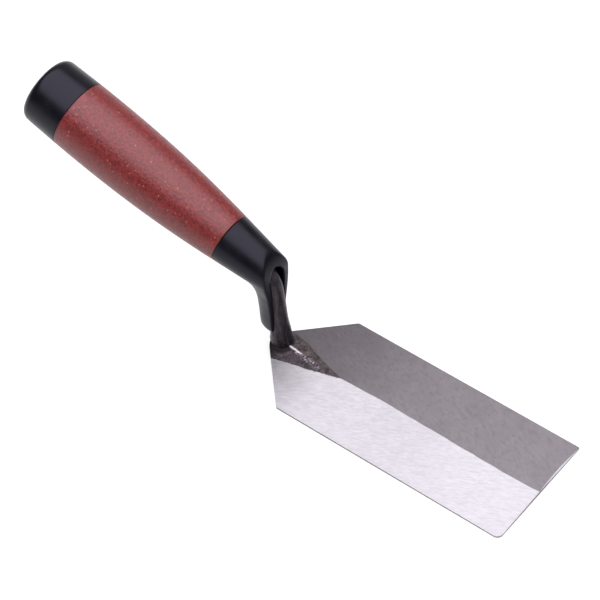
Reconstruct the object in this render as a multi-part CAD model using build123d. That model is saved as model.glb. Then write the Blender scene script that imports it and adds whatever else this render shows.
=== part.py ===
from build123d import *
import math
import os

# Margin trowel: a flat ground blade forged in one piece with its shank and tang, and a
# moulded handle of a hard core, a soft grip sleeve and a butt cap.
# Frame: +X towards the blade's front edge, +Z up off the blade, Y across.
# Origin: on the flat working face (the underside), half the nominal blade length behind
# the front edge, midway between the long edges.

# ---------------------------------------------------------------- driving dimensions, mm
blade_length = 127.0          # nominal length
straight_length = 101.6       # how far the long edges run back from the front
heel_run = 24.2               # from there to where the two heel edges would meet
blade_width = 50.8
edge_t = 0.65                 # thickness along the side edges at the front
ridge_rise = 1.20             # how much thicker the middle ridge is than the side edges
heel_gain = 0.15              # how much thicker the blade gets over its straight length
near_corner_r = 2.4           # front corner on -Y, ground rounder
far_corner_r = 0.4            # front corner on +Y
heel_corner_r = 0.9
heel_nose_r = 7.5             # rounding of the heel under the shank
front_bevel = 1.5             # how far back the front edge's bevel reaches at the ridge
front_bevel_t = 0.62          # thickness left at the front edge

boss_tip_x = -26.0            # front tip of the forged ridge on the blade

# shank centre line, (x, z) and radius, rising off the blade and leaning slightly back
SHANK = [(-54.9, 1.0, 4.0), (-55.3, 5.8, 4.15), (-55.6, 9.0, 4.05), (-55.85, 14.0, 3.6), (-56.2, 21.0, 3.4), (-56.8, 31.0, 3.2)]
shank_bend_r = 13.0

axis_tilt = 18.06             # handle axis, degrees above the blade, rising backwards
axis_face_z = 39.3            # height of the handle axis at the front face
face_x = -55.6                # flat front face of the handle's hood, square to the blade
handle_len = 115.4            # butt end plane to the front face, along the axis

seam_butt = 17.3              # from the butt end plane to the cap / grip seam
seam_neck = 92.4              # from the butt end plane to the grip / neck seam
grip_wall = 2.1
seam_chamfer = 0.35
butt_round = 3.4

# outer radius along the handle, from the butt end plane
PROFILE = [
    (0.0, 13.59), (3.4, 13.70), (8.0, 13.83), (15.4, 13.98), (22.0, 14.05), (30.0, 14.05),
    (38.0, 13.96), (46.0, 13.76), (54.0, 13.45), (62.0, 13.01), (70.0, 12.43), (78.0, 11.72),
    (86.0, 10.90), (91.2, 10.31), (96.0, 9.74), (101.5, 9.07), (108.0, 8.28), (115.0, 7.43),
    (122.0, 6.60), (128.0, 5.90),
]
tang_len = 58.0               # tang's reach into the handle behind the bend
tang_root = 5.6               # square section behind the bend
tang_end = 4.0
arch_z = 39.7                 # centre of the slot's arched top
mouth_r = 3.9                 # round hole that runs on into the handle there
brow_z = 40.0                 # above this height the front face curves back
brow_r = 13.0
cap_spigot_r = 8.4
cap_spigot_end = 27.5
cap_bore_r = 6.2
cap_hollow_r = 10.6
rear_hollow_end = 42.0        # the core is hollow from its rear face to here

half_w = blade_width / 2
x_front = blade_length / 2
x_heel = x_front - straight_length
x_apex = x_heel - heel_run
tilt = math.radians(axis_tilt)
axis_dir = Vector(math.cos(tilt), 0, -math.sin(tilt))
face_point = Vector(face_x, 0, axis_face_z)
butt_point = face_point - axis_dir * handle_len
into_handle = Location(tuple(butt_point), (0, axis_tilt, 0))   # local +X runs down the axis
BIG = 400.0


def closed(*edges):
    return make_face(Curve() + list(edges))


def chain(*points):
    return [Line(a, b) for a, b in zip(points, points[1:])]


def slab_u(u0, u1):
    """Everything between two stations of the handle axis, in the handle's local frame."""
    return Location(((u0 + u1) / 2, 0, 0)) * Box(u1 - u0, BIG, BIG)


def rim(shape, u, r_min):
    """The round edges of a turned body at one station, outside a radius."""
    found = []
    for e in shape.edges():
        b = e.bounding_box()
        if abs(b.min.X - u) < 0.01 and abs(b.max.X - u) < 0.01 and b.size.Y > 2 * r_min:
            found.append(e)
    return found


def solid_from(vertices, faces):
    """A flat-faced solid from its corners."""
    made = [Face(Wire.make_polygon([Vector(*vertices[i]) for i in f], close=True)) for f in faces]
    return Solid(Shell(made))


# ---------------------------------------------------------------- blade
def top_z(x, y):
    return edge_t + ridge_rise * (1 - abs(y) / half_w) + heel_gain * (x_front - x) / (x_front - x_heel)


w, xa, xb = half_w + 1.0, x_apex - 2.0, x_front + 1.0
corners = [
    (xa, -w, 0), (xb, -w, 0), (xb, w, 0), (xa, w, 0),
    (xa, -w, top_z(xa, -w)), (xb, -w, top_z(xb, -w)), (xb, 0, top_z(xb, 0)),
    (xb, w, top_z(xb, w)), (xa, w, top_z(xa, w)), (xa, 0, top_z(xa, 0)),
]
slab = solid_from(corners, [
    (0, 3, 2, 1), (0, 1, 5, 4), (1, 2, 7, 6, 5), (2, 3, 8, 7), (3, 0, 4, 9, 8),
    (4, 5, 6, 9), (6, 7, 8, 9),
])
outline = make_face(Polyline(
    (x_front, -half_w), (x_front, half_w), (x_heel, half_w), (x_apex, 0), (x_heel, -half_w), close=True))


def corner_at(sketch, x, y):
    return sketch.vertices().sort_by_distance((x, y, 0))[0]


outline = fillet(corner_at(outline, x_apex, 0), heel_nose_r)
outline = fillet(corner_at(outline, x_front, -half_w), near_corner_r)
outline = fillet(corner_at(outline, x_front, half_w), far_corner_r)
outline = fillet(corner_at(outline, x_heel, half_w), heel_corner_r)
outline = fillet(corner_at(outline, x_heel, -half_w), heel_corner_r)
column = extrude(outline, 40)
ridge_t = edge_t + ridge_rise
bevel_cut = extrude(Plane.XZ.offset(-half_w - 5) * make_face(Polyline(
    (x_front - front_bevel, ridge_t), (x_front, front_bevel_t), (x_front + 5, front_bevel_t), (x_front + 5, 9.0),
    (x_front - front_bevel, 9.0), close=True)), blade_width + 10)
plate = (slab & column) - bevel_cut

# ---------------------------------------------------------------- forged boss and shank
stations = [      # x, half width on the blade, height of the ridge above the blade's top
    (-60.0, 10.5, 1.9),
    (-53.5, 9.0, 1.7),
    (-50.0, 7.8, 1.35),
    (-44.5, 6.0, 0.95),
    (-37.5, 3.9, 0.55),
    (-31.0, 2.0, 0.3),
    (boss_tip_x, 0.7, 0.1),
]
sections = []
for x, hw, h in stations:
    zb = 0.45
    zt = top_z(x, 0) + h
    zs = top_z(x, hw) - 0.02
    knee = (0.30 * hw, zt - 0.22 * (zt - zs))
    prof = Polyline((-hw, zb), (-hw, zs), (-knee[0], knee[1]), (0, zt), (knee[0], knee[1]), (hw, zs), (hw, zb), close=True)
    sections.append(Plane(origin=(x, 0, 0), x_dir=(0, 1, 0), z_dir=(1, 0, 0)) * make_face(prof))
boss = loft(sections, ruled=True) & column

# upright shank, lofted through its stations
rings = []
for x, z, r in SHANK:
    rings.append(Plane(origin=(x, 0, z), z_dir=(0, 0, 1)) * Circle(r))
upright = loft(rings, ruled=True)

# bend onto the handle axis
top_x, top_zz, top_r = SHANK[-1]
lean = math.atan2(SHANK[-2][0] - top_x, top_zz - SHANK[-2][1])
up_dir = Vector(-math.sin(lean), 0, math.cos(lean))
back_dir = -axis_dir
turn = math.acos(max(-1, min(1, up_dir.dot(back_dir))))
start = Vector(top_x, 0, top_zz)
# corner where the shank's line meets the handle axis
k = ((face_point - start).cross(back_dir)).Y / (up_dir.cross(back_dir)).Y
corner = start + up_dir * k
t_len = shank_bend_r * math.tan(turn / 2)
bend_low = corner - up_dir * t_len
bend_high = corner + back_dir * t_len
normal = (back_dir - up_dir * up_dir.dot(back_dir)).normalized()
centre = bend_low + normal * shank_bend_r
bend_mid = centre + (corner - centre).normalized() * shank_bend_r
shank_end = bend_high + back_dir * 4.0
low = start - up_dir * 1.0
path = Line(low, bend_low) + ThreePointArc(bend_low, bend_mid, bend_high) + Line(bend_high, shank_end)
neck_rod = sweep(Plane(origin=low, z_dir=up_dir) * Circle(top_r), path=path)
tang_plane = Plane(origin=bend_high, x_dir=(0, 1, 0), z_dir=back_dir)
tang = loft([
    tang_plane * Rectangle(tang_root, tang_root),
    tang_plane.offset(tang_len) * Rectangle(tang_end, tang_end),
])
forging = plate + boss + upright + neck_rod + tang

# ---------------------------------------------------------------- turned handle bodies
outer_pts = [(u, r) for u, r in PROFILE]
inner_pts = [(u, r - grip_wall) for u, r in PROFILE if seam_butt - 8 <= u <= seam_neck + 5]
u_last = PROFILE[-1][0]
outer = revolve(closed(
    *chain((u_last, PROFILE[-1][1]), (u_last, 0), (0, 0), outer_pts[0]),
    Spline(*outer_pts)), Axis.X, 360)
inner = revolve(closed(
    *chain(inner_pts[-1], (inner_pts[-1][0], 0), (inner_pts[0][0], 0), inner_pts[0]),
    Spline(*inner_pts)), Axis.X, 360)

grip = (outer & slab_u(seam_butt, seam_neck)) - inner
grip = chamfer(rim(grip, seam_butt, 13.5), seam_chamfer)
grip = chamfer(rim(grip, seam_neck, 9.5), seam_chamfer)

cap_shell = outer & slab_u(0, seam_butt)
cap_shell = fillet(rim(cap_shell, 0, 13.0), butt_round)
cap_shell = chamfer(rim(cap_shell, seam_butt, 13.5), seam_chamfer)
spigot = Location((cap_spigot_end / 2, 0, 0), (0, 90, 0)) * Cylinder(cap_spigot_r, cap_spigot_end)
spigot = spigot & slab_u(3.0, cap_spigot_end)
cap_bore = Location((4.0 + 15.0, 0, 0), (0, 90, 0)) * Cylinder(cap_bore_r, 30.0)
cap_hollow = Location(((4.0 + 12.5) / 2, 0, 0), (0, 90, 0)) * Cylinder(cap_hollow_r, 8.5)
cap = cap_shell + spigot - cap_bore - cap_hollow

neck_part = outer & slab_u(seam_neck, u_last)
neck_part = chamfer(rim(neck_part, seam_neck, 9.5), seam_chamfer)
core_body = neck_part + (inner & slab_u(seam_butt, seam_neck + 0.5))

grip = grip.moved(into_handle)
cap = cap.moved(into_handle)
core_body = core_body.moved(into_handle)
tube = core_body & (Location((face_x - 150, 0, 60)) * Box(300, 120, 200))

# ---------------------------------------------------------------- hood and finger tongue
tongue_sections = [     # height, half width at the front face, depth behind it, squareness
    (45.3, 4.6, 8.0, 2.0),
    (42.3, 6.2, 11.5, 2.0),
    (37.9, 7.15, 13.2, 2.0),
    (33.8, 6.7, 12.2, 2.1),
    (30.6, 6.15, 10.3, 2.2),
    (28.2, 5.8, 9.2, 2.3),
    (25.0, 5.3, 8.5, 2.4),
    (20.8, 4.9, 8.2, 2.5),
    (16.6, 4.75, 8.1, 2.5),
    (13.0, 4.6, 8.15, 2.4),
    (11.3, 4.1, 7.5, 2.3),
    (10.4, 3.3, 6.2, 2.1),
    (10.05, 2.3, 4.5, 2.0),
]


def tongue_face(z, hw, d, n):
    """Flat in front, rounded behind, from a superellipse of exponent n."""
    pts = []
    for i in range(13):
        a = math.radians(-90 + 15 * i)
        pts.append((face_x - d * abs(math.cos(a)) ** (2 / n), math.copysign(hw * abs(math.sin(a)) ** (2 / n), math.sin(a)), z))
    pts[0], pts[-1] = (face_x, -hw, z), (face_x, hw, z)
    return make_face(Curve() + [Spline(*pts), Line(pts[-1], pts[0])])


tongue = loft(Sketch() + [tongue_face(*t) for t in tongue_sections])
brow = extrude(Plane.XZ.offset(-30) * closed(
    ThreePointArc((face_x, brow_z), (face_x - (brow_r - math.sqrt(brow_r ** 2 - 5.5 ** 2)), brow_z + 5.5),
                  (face_x - (brow_r - math.sqrt(brow_r ** 2 - 10.0 ** 2)), brow_z + 10.0)),
    *chain((face_x - (brow_r - math.sqrt(brow_r ** 2 - 10.0 ** 2)), brow_z + 10.0), (face_x - 4.0, brow_z + 30.0),
           (face_x + 10.0, brow_z + 30.0), (face_x + 10.0, brow_z), (face_x, brow_z))), 60)
hood = tube + tongue - brow

# slot in the front face: an arched mouth that runs into the handle, open down to the tongue's tip
slot_sections = [       # height, half width, depth
    (8.0, 4.3, 4.9),
    (17.0, 3.8, 4.9),
    (25.0, 3.65, 5.2),
    (32.0, 3.8, 8.0),
    (arch_z, 3.95, 13.0),
]
rings = []
for z, hw, d in slot_sections:
    long_hole = (Location((face_x, 0)) * Circle(hw) + Location((face_x - (d - hw), 0)) * Circle(hw)
                 + Location((face_x - (d - hw) / 2, 0)) * Rectangle(d - hw, 2 * hw) + Location((face_x + 3, 0)) * Rectangle(6, 2 * hw))
    rings.append(Plane.XY.offset(z) * long_hole)
channel = loft(rings, ruled=True)
mouth = (Location((face_x - 5.5, 0, arch_z), (0, 90, 0)) * Cylinder(mouth_r, 13.0)
         + Location((face_x - 12.0, 0, arch_z)) * Sphere(mouth_r))
core = hood - channel - mouth - forging
rear_len = rear_hollow_end - seam_butt
rear = Location(tuple(butt_point + axis_dir * (seam_butt + rear_len / 2)), (0, axis_tilt + 90, 0)) * Cylinder(cap_spigot_r, rear_len)
core = core - rear

parts = {
    "blade_shank_forging": forging,
    "handle_core": core,
    "soft_grip": grip,
    "butt_cap": cap,
}
os.makedirs("parts", exist_ok=True)
for name, shape in parts.items():
    solids = shape.solids()
    print(name, "solids", len(solids), "volume", round(sum(s.volume for s in solids), 1))
    export_step(solids[0] if len(solids) == 1 else Compound(solids), f"parts/{name}.step")
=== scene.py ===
import math

import bmesh
import bpy
import numpy as np
from mathutils import Matrix, Vector
from mathutils.geometry import delaunay_2d_cdt


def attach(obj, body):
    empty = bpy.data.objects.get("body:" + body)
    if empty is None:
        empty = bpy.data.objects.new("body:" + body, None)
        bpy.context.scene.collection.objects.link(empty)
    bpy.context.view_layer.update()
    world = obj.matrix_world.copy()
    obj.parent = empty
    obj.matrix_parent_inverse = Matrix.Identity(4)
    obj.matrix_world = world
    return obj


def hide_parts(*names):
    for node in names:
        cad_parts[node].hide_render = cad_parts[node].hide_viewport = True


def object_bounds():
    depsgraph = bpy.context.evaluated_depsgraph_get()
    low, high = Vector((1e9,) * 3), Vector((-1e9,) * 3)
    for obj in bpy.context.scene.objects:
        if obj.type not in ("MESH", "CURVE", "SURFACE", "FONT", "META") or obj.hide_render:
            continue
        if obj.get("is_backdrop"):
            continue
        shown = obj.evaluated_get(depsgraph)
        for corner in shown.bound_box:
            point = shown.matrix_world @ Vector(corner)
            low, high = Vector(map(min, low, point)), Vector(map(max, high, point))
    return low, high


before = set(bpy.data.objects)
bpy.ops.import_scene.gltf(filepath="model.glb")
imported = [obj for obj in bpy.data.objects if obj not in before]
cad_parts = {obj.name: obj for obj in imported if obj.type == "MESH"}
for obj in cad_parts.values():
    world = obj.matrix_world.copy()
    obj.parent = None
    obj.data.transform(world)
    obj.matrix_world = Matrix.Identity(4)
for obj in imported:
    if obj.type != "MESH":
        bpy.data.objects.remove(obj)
cad_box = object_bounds()
MM = 0.001

# ------------------------------------------------------------------ sizes in mm, as in the CAD
HALF_L, HALF_W = 63.5, 25.4
X_HEEL, HEEL_RUN = HALF_L - 101.6, 24.2
HEEL_ANGLE = math.atan2(HALF_W, HEEL_RUN)
EDGE_T, RIDGE_RISE, HEEL_GAIN = 0.65, 1.20, 0.15
BEVEL, BEVEL_SLOPE = 0.6, 0.30
NEAR_R, FAR_R, HEEL_R, NOSE_R = 2.4, 0.4, 0.9, 7.5
SHANK = [(-55.2, 1.0, 4.2), (-55.45, 5.8, 4.22), (-55.6, 9.0, 4.08), (-55.85, 14.0, 3.58), (-56.2, 21.0, 3.4), (-56.8, 31.0, 3.2)]
BEND_R = 13.0
TILT = math.radians(18.06)
AX, AZ = math.cos(TILT), -math.sin(TILT)
FACE_X, FACE_Z, HANDLE_LEN = -55.6, 39.3, 115.4
BUTT_X, BUTT_Z = FACE_X - AX * HANDLE_LEN, FACE_Z - AZ * HANDLE_LEN
SEAM_BUTT, SEAM_NECK, GRIP_WALL, SEAM_CH, BUTT_ROUND = 17.3, 92.4, 2.1, 0.35, 3.4
PROFILE = [
    (0.0, 13.59), (3.4, 13.70), (8.0, 13.83), (15.4, 13.98), (22.0, 14.05), (30.0, 14.05),
    (38.0, 13.96), (46.0, 13.76), (54.0, 13.45), (62.0, 13.01), (70.0, 12.43), (78.0, 11.72),
    (86.0, 10.90), (91.2, 10.31), (96.0, 9.74), (101.5, 9.07), (108.0, 8.28), (115.0, 7.43),
    (122.0, 6.60), (128.0, 5.90),
]


def spline(points):
    """Natural cubic spline through (x, y) points, returned as a function on arrays."""
    xs = np.array([p[0] for p in points], float)
    ys = np.array([p[1] for p in points], float)
    n = len(xs)
    h = np.diff(xs)
    a = np.zeros((n, n))
    b = np.zeros(n)
    a[0, 0] = a[-1, -1] = 1
    for i in range(1, n - 1):
        a[i, i - 1], a[i, i], a[i, i + 1] = h[i - 1], 2 * (h[i - 1] + h[i]), h[i]
        b[i] = 6 * ((ys[i + 1] - ys[i]) / h[i] - (ys[i] - ys[i - 1]) / h[i - 1])
    m = np.linalg.solve(a, b)

    def f(x):
        x = np.clip(np.asarray(x, float), xs[0], xs[-1])
        i = np.clip(np.searchsorted(xs, x) - 1, 0, n - 2)
        d0, d1, hi = x - xs[i], xs[i + 1] - x, h[i]
        return (m[i] * d1 ** 3 + m[i + 1] * d0 ** 3) / (6 * hi) + (ys[i] / hi - m[i] * hi / 6) * d1 + (ys[i + 1] / hi - m[i + 1] * hi / 6) * d0

    return f


radius = spline(PROFILE)


# ------------------------------------------------------------------ smooth value noise, fixed by its seed
def lattice(ix, iy, iz, seed):
    n = (ix * 374761393 + iy * 668265263 + iz * 2147483647 + seed * 974634777) & 0xFFFFFFFF
    n = ((n ^ (n >> 13)) * 1274126177) & 0xFFFFFFFF
    n = n ^ (n >> 16)
    return (n & 0xFFFFFF) / float(0xFFFFFF) * 2 - 1


def noise(x, y, z, seed=0):
    x, y, z = np.broadcast_arrays(np.asarray(x, float), np.asarray(y, float), np.asarray(z, float))
    fx, fy, fz = np.floor(x), np.floor(y), np.floor(z)
    tx, ty, tz = x - fx, y - fy, z - fz
    tx, ty, tz = tx * tx * (3 - 2 * tx), ty * ty * (3 - 2 * ty), tz * tz * (3 - 2 * tz)
    ix, iy, iz = fx.astype(np.int64), fy.astype(np.int64), fz.astype(np.int64)
    out = 0
    for dx in (0, 1):
        for dy in (0, 1):
            for dz in (0, 1):
                wgt = (tx if dx else 1 - tx) * (ty if dy else 1 - ty) * (tz if dz else 1 - tz)
                out = out + wgt * lattice(ix + dx, iy + dy, iz + dz, seed)
    return out


def smooth01(a, b, v):
    t = np.clip((np.asarray(v, float) - a) / (b - a), 0, 1)
    return t * t * (3 - 2 * t)


# ------------------------------------------------------------------ mesh helpers
def new_object(name, verts_mm, faces, materials, face_mats=None):
    me = bpy.data.meshes.new(name)
    me.from_pydata([tuple(v) for v in (np.asarray(verts_mm, float) * MM)], [], [tuple(int(i) for i in f) for f in faces])
    for m in materials:
        me.materials.append(m)
    if face_mats is not None:
        me.polygons.foreach_set("material_index", np.asarray(face_mats, np.int32))
    me.polygons.foreach_set("use_smooth", [True] * len(me.polygons))
    me.update()
    me.validate()
    ob = bpy.data.objects.new(name, me)
    bpy.context.scene.collection.objects.link(ob)
    return ob


def mark_sharp(me, pairs=None, angle=None):
    """Sharp edges: the given vertex pairs, and those whose faces meet above an angle."""
    if angle is not None:
        me.set_sharp_from_angle(angle=math.radians(angle))
    if pairs:
        att = me.attributes.get("sharp_edge") or me.attributes.new("sharp_edge", "BOOLEAN", "EDGE")
        want = {(min(a, b), max(a, b)) for a, b in pairs}
        vals = np.zeros(len(me.edges), bool)
        att.data.foreach_get("value", vals)
        ev = np.zeros(len(me.edges) * 2, np.int32)
        me.edges.foreach_get("vertices", ev)
        ev = np.sort(ev.reshape(-1, 2), axis=1)
        for i, (a, b) in enumerate(ev):
            if (int(a), int(b)) in want:
                vals[i] = True
        att.data.foreach_set("value", vals)


# ------------------------------------------------------------------ node helpers
class Nodes:
    def __init__(self, name):
        self.mat = bpy.data.materials.new(name)
        self.mat.use_nodes = True
        self.t = self.mat.node_tree
        self.t.nodes.clear()
        self.out = self.t.nodes.new("ShaderNodeOutputMaterial")
        self.bsdf = self.t.nodes.new("ShaderNodeBsdfPrincipled")
        self.t.links.new(self.bsdf.outputs[0], self.out.inputs[0])
        self.coord = self.t.nodes.new("ShaderNodeTexCoord").outputs["Object"]

    def put(self, socket, value):
        if isinstance(value, bpy.types.NodeSocket):
            self.t.links.new(value, socket)
        elif isinstance(value, (tuple, list)):
            socket.default_value = tuple(value) + ((1.0,) if len(value) == 3 and len(socket.default_value) == 4 else ())
        else:
            socket.default_value = value

    def add(self, kind, **inputs):
        n = self.t.nodes.new(kind)
        for k, v in inputs.items():
            self.put(n.inputs[k.replace("_", " ")], v)
        return n

    def math(self, op, a, b=0.0, c=None, clamp=False):
        n = self.t.nodes.new("ShaderNodeMath")
        n.operation = op
        n.use_clamp = clamp
        self.put(n.inputs[0], a)
        self.put(n.inputs[1], b)
        if c is not None:
            self.put(n.inputs[2], c)
        return n.outputs[0]

    def mapped(self, scale=(1, 1, 1), rot=(0, 0, 0), loc=(0, 0, 0), src=None):
        n = self.t.nodes.new("ShaderNodeMapping")
        self.put(n.inputs["Vector"], src or self.coord)
        n.inputs["Location"].default_value = loc
        n.inputs["Rotation"].default_value = rot
        n.inputs["Scale"].default_value = scale
        return n.outputs[0]

    def noise(self, vec, scale, detail=2.0, rough=0.5, dist=0.0):
        n = self.t.nodes.new("ShaderNodeTexNoise")
        self.put(n.inputs["Vector"], vec)
        n.inputs["Scale"].default_value = scale
        n.inputs["Detail"].default_value = detail
        n.inputs["Roughness"].default_value = rough
        n.inputs["Distortion"].default_value = dist
        return n.outputs["Fac"]

    def voronoi(self, vec, scale, rand=1.0):
        n = self.t.nodes.new("ShaderNodeTexVoronoi")
        self.put(n.inputs["Vector"], vec)
        n.inputs["Scale"].default_value = scale
        n.inputs["Randomness"].default_value = rand
        return n

    def ramp(self, fac, lo, hi, a=0.0, b=1.0):
        n = self.t.nodes.new("ShaderNodeMapRange")
        n.interpolation_type = "SMOOTHSTEP"
        self.put(n.inputs["Value"], fac)
        n.inputs["From Min"].default_value = lo
        n.inputs["From Max"].default_value = hi
        n.inputs["To Min"].default_value = a
        n.inputs["To Max"].default_value = b
        return n.outputs["Result"]

    def mix(self, fac, a, b):
        n = self.t.nodes.new("ShaderNodeMix")
        n.data_type = "RGBA"
        self.put(n.inputs["Factor"], fac)
        self.put(n.inputs[6], a)
        self.put(n.inputs[7], b)
        return n.outputs[2]

    def mixf(self, fac, a, b):
        n = self.t.nodes.new("ShaderNodeMix")
        n.data_type = "FLOAT"
        self.put(n.inputs["Factor"], fac)
        self.put(n.inputs[2], a)
        self.put(n.inputs[3], b)
        return n.outputs[0]

    def attr(self, name):
        n = self.t.nodes.new("ShaderNodeAttribute")
        n.attribute_name = name
        return n.outputs["Fac"]

    def bump(self, height, strength, distance, normal=None):
        n = self.t.nodes.new("ShaderNodeBump")
        n.inputs["Strength"].default_value = strength
        n.inputs["Distance"].default_value = distance
        self.put(n.inputs["Height"], height)
        if normal is not None:
            self.put(n.inputs["Normal"], normal)
        return n.outputs[0]


def srgb(r, g, b):
    def lin(c):
        c /= 255
        return c / 12.92 if c <= 0.04045 else ((c + 0.055) / 1.055) ** 2.4
    return (lin(r), lin(g), lin(b), 1.0)


# ------------------------------------------------------------------ materials
def steel_material(name, angle, grey, mottle, flank, heel_painted_light, grind, front):
    """Ground sheet: scratches run one way on each facet; forge scale is left where 'scale' is above zero."""
    n = Nodes(name)
    a = math.radians(angle)
    turned = n.mapped(rot=(0, 0, -a))
    fine = n.noise(n.mapped(scale=(520, 3000, 300), src=turned), 1.0, 2.0, 0.6)
    mid = n.noise(n.mapped(scale=(270, 1300, 200), src=turned), 1.0, 3.0, 0.6)
    cloud = n.noise(n.mapped(scale=(90, 90, 90)), 1.0, 3.0, 0.6)
    pits = n.noise(n.mapped(scale=(420, 700, 600), src=turned), 1.0, 3.0, 0.65)
    streak = n.math("ADD", n.math("MULTIPLY", fine, 0.5), n.math("MULTIPLY", mid, 0.5))
    bright = n.ramp(streak, 0.34, 0.66)
    place = n.t.nodes.new("ShaderNodeSeparateXYZ")
    n.put(place.inputs[0], n.coord)
    steel = n.mix(bright, tuple(c * (1 - 0.115 * grind) for c in grey), tuple(c * (1 + 0.10 * grind) for c in grey))
    steel = n.mix(n.math("MULTIPLY", n.ramp(cloud, 0.35, 0.75), mottle), steel, tuple(c * 0.86 for c in grey))
    steel = n.mix(n.math("MULTIPLY", n.ramp(pits, 0.46, 0.70), mottle * 1.1), steel, tuple(c * 0.80 for c in grey))
    # painted light and shade along the blade: each facet's brightness is scaled from its heel value to its front value
    # (the far facet painted darker towards the heel, the near facet painted lighter towards the front)
    painted_light_along_blade = n.math("MULTIPLY", n.ramp(place.outputs[0], -0.055, 0.012, heel_painted_light, 1.0), n.ramp(place.outputs[0], -0.005, 0.055, 1.0, front))
    scaled = n.t.nodes.new("ShaderNodeVectorMath")
    scaled.operation = "SCALE"
    n.put(scaled.inputs[0], steel)
    n.put(scaled.inputs["Scale"], painted_light_along_blade)
    steel = scaled.outputs[0]
    # forge scale
    p = n.mapped(scale=(1, 1, 1))
    s1 = n.noise(p, 420.0, 4.0, 0.65)
    s2 = n.noise(p, 1400.0, 3.0, 0.6)
    patch = n.noise(p, 150.0, 3.0, 0.6)
    brown = n.mix(n.ramp(s1, 0.35, 0.68), tuple(c * 0.4 for c in flank), tuple(c * 1.65 for c in flank))
    brown = n.mix(n.math("MULTIPLY", n.ramp(s2, 0.54, 0.70), 0.65), brown, tuple(c * 2.8 for c in flank))
    brown = n.mix(n.math("MULTIPLY", n.ramp(patch, 0.52, 0.72), 0.7), brown, tuple(c * 0.5 for c in flank))
    # painted shadow round the shank's foot and along the near heel: the scale goes almost black where the 'foot'
    # attribute is set
    foot = n.math("ADD", n.attr("foot"), n.math("MULTIPLY", n.math("SUBTRACT", s1, 0.5), 0.5), clamp=True)
    brown = n.mix(n.math("MULTIPLY", foot, 0.92), brown, tuple(c * 0.10 for c in flank))
    ragged = n.noise(p, 900.0, 3.0, 0.6)
    edge = n.math("ADD", n.attr("scale"), n.math("MULTIPLY", n.math("SUBTRACT", ragged, 0.5), 0.8))
    scale = n.ramp(edge, -0.16, 0.16)
    core = n.ramp(n.math("ADD", n.attr("crest"), n.math("MULTIPLY", n.math("SUBTRACT", s1, 0.5), 0.35)), 0.30, 0.75)
    specks = n.math("MULTIPLY", n.ramp(n.math("ADD", s2, n.math("MULTIPLY", n.attr("specks"), 0.10)), 0.56, 0.76), n.ramp(n.attr("specks"), 0.08, 0.6))
    crest = n.math("MAXIMUM", core, n.math("MULTIPLY", specks, 0.55))
    base = n.mix(crest, brown, (0.50, 0.455, 0.485))
    n.put(n.bsdf.inputs["Base Color"], n.mix(scale, steel, base))
    n.put(n.bsdf.inputs["Metallic"], n.mixf(scale, 0.62, n.mixf(crest, 0.30, 1.0)))
    rough = n.math("ADD", 0.34, n.math("MULTIPLY", streak, 0.10))
    n.put(n.bsdf.inputs["Roughness"], n.mixf(scale, rough, n.mixf(crest, n.ramp(s1, 0.3, 0.7, 0.44, 0.56), 0.34)))
    n.put(n.bsdf.inputs["Specular IOR Level"], n.mixf(scale, 0.5, 0.25))
    b1 = n.bump(streak, 0.18, 0.00004)
    b2 = n.bump(n.math("MULTIPLY", scale, n.math("ADD", s1, n.math("MULTIPLY", s2, 0.5))), 0.7, 0.0003, b1)
    n.put(n.bsdf.inputs["Normal"], b2)
    return n.mat


def edge_material(name):
    n = Nodes(name)
    along = n.noise(n.mapped(scale=(260, 260, 1500)), 1.0, 3.0, 0.6)
    n.put(n.bsdf.inputs["Base Color"], n.mix(n.ramp(along, 0.3, 0.7), (0.10, 0.096, 0.102), (0.20, 0.19, 0.20)))
    n.bsdf.inputs["Metallic"].default_value = 0.8
    n.put(n.bsdf.inputs["Roughness"], n.ramp(along, 0.3, 0.7, 0.34, 0.46))
    n.put(n.bsdf.inputs["Normal"], n.bump(along, 0.4, 0.00005))
    return n.mat


def bevel_material(name):
    n = Nodes(name)
    along = n.noise(n.mapped(scale=(1500, 120, 300)), 1.0, 3.0, 0.6)
    n.put(n.bsdf.inputs["Base Color"], n.mix(n.ramp(along, 0.3, 0.7), (0.24, 0.23, 0.24), (0.31, 0.30, 0.31)))
    n.bsdf.inputs["Metallic"].default_value = 1.0
    n.put(n.bsdf.inputs["Roughness"], n.ramp(along, 0.3, 0.7, 0.26, 0.34))
    n.put(n.bsdf.inputs["Normal"], n.bump(along, 0.3, 0.00004))
    return n.mat


def shank_material(name):
    n = Nodes(name)
    p = n.mapped(scale=(1, 1, 1))
    long = n.noise(n.mapped(scale=(620, 620, 90)), 1.0, 3.0, 0.6)
    spots = n.noise(p, 900.0, 4.0, 0.65)
    patch = n.noise(p, 170.0, 3.0, 0.55)
    col = n.mix(n.ramp(long, 0.34, 0.66), (0.0085, 0.0074, 0.0083), (0.049, 0.0425, 0.0495))
    col = n.mix(n.ramp(patch, 0.5, 0.75), col, (0.022, 0.017, 0.0195))
    col = n.mix(n.ramp(spots, 0.60, 0.74), col, (0.095, 0.086, 0.092))
    n.put(n.bsdf.inputs["Base Color"], col)
    n.bsdf.inputs["Metallic"].default_value = 0.4
    n.bsdf.inputs["Specular IOR Level"].default_value = 0.28
    n.put(n.bsdf.inputs["Roughness"], n.ramp(spots, 0.3, 0.7, 0.34, 0.50))
    h = n.math("ADD", n.math("MULTIPLY", long, 0.8), n.math("MULTIPLY", spots, 0.5))
    n.put(n.bsdf.inputs["Normal"], n.bump(h, 0.8, 0.0003))
    return n.mat


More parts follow.
